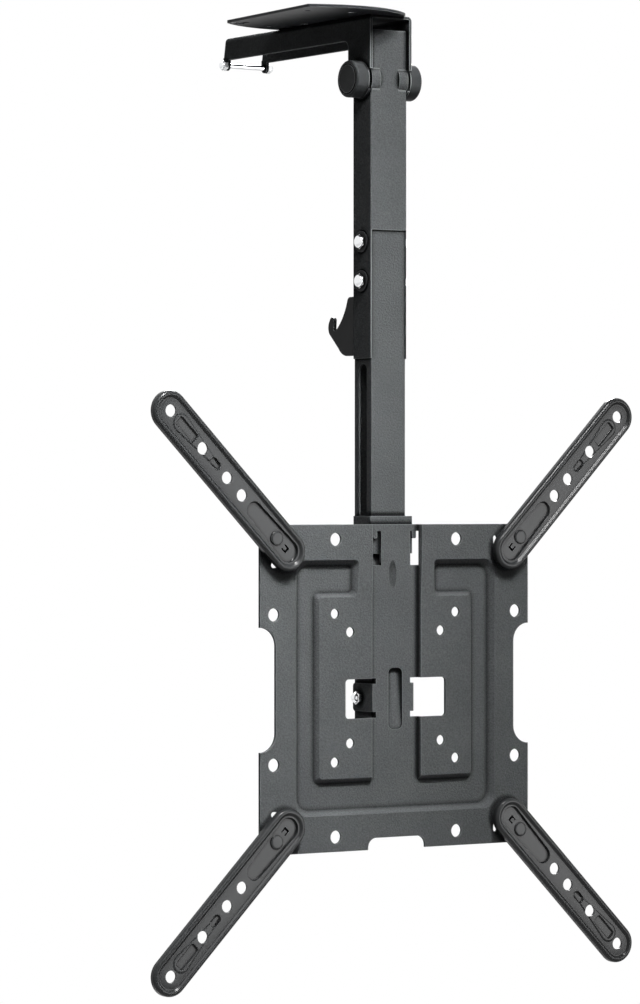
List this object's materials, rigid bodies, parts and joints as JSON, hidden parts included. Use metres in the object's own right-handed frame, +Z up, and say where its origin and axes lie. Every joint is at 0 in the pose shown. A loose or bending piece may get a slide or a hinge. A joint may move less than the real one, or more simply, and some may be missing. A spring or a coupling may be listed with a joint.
{
  "type": "tv ceiling mount",
  "caption": "Fold-up ceiling mount for a flat screen: folded steel arm, hinged sliding tube and a pressed plate with swinging corner arms.",
  "frame": {"origin": "on the ceiling face of the ceiling plate, straight above the fold hinge", "axes": "+Z up into the ceiling, +X to the right seen from the screen side, +Y to the back, away from the screen"},
  "size_m": [0.3962, 0.2055, 0.6559],
  "materials": {
    "coat": "fine-textured dark powder coat",
    "hub": "smooth dark coat",
    "rivet": "coated with the arms",
    "zinc": "bright plated"
  },
  "bodies": {
    "ceiling_bracket": {"ceiling_plate": "coat", "ceiling_arm": "coat", "hub_cap_left": "hub", "hub_cap_right": "hub", "hinge_pin": "zinc", "cross_rod": "zinc", "rod_nuts": "zinc"},
    "folding_tube": {"upper_tube": "coat", "hinge_drums": "coat", "catch_hook": "coat", "clamp_bolts": "zinc", "clamp_nuts": "zinc", "clamp_washers": "coat"},
    "screen_head": {"lower_tube": "coat", "saddle": "coat", "ear_bolt": "zinc", "ear_nut": "zinc", "ear_spacers": "zinc", "screen_plate": "coat", "rivets": "rivet"},
    "upper_left_arm": {"upper_left_arm": "coat"},
    "upper_right_arm": {"upper_right_arm": "coat"},
    "lower_left_arm": {"lower_left_arm": "coat"},
    "lower_right_arm": {"lower_right_arm": "coat"}
  },
  "joints": [
    {"name": "fold", "type": "hinge", "parent": "ceiling_bracket", "child": "folding_tube", "pos_m": [0, 0, -0.0454], "axis": [1, 0, 0], "range_deg": [0, 83]},
    {"name": "height", "type": "slide", "parent": "folding_tube", "child": "screen_head", "axis": [0, 0, 1], "range_m": [0, 0.045]},
    {"name": "upper_left_swing", "type": "hinge", "parent": "screen_head", "child": "upper_left_arm", "pos_m": [-0.101, -0.0202, -0.3568], "axis": [0, 1, 0], "range_deg": [-40, 40]},
    {"name": "upper_right_swing", "type": "hinge", "parent": "screen_head", "child": "upper_right_arm", "pos_m": [0.101, -0.0202, -0.3568], "axis": [0, 1, 0], "range_deg": [-40, 40]},
    {"name": "lower_left_swing", "type": "hinge", "parent": "screen_head", "child": "lower_left_arm", "pos_m": [-0.101, -0.0202, -0.5588], "axis": [0, 1, 0], "range_deg": [-40, 40]},
    {"name": "lower_right_swing", "type": "hinge", "parent": "screen_head", "child": "lower_right_arm", "pos_m": [0.101, -0.0202, -0.5588], "axis": [0, 1, 0], "range_deg": [-40, 40]}
  ]
}
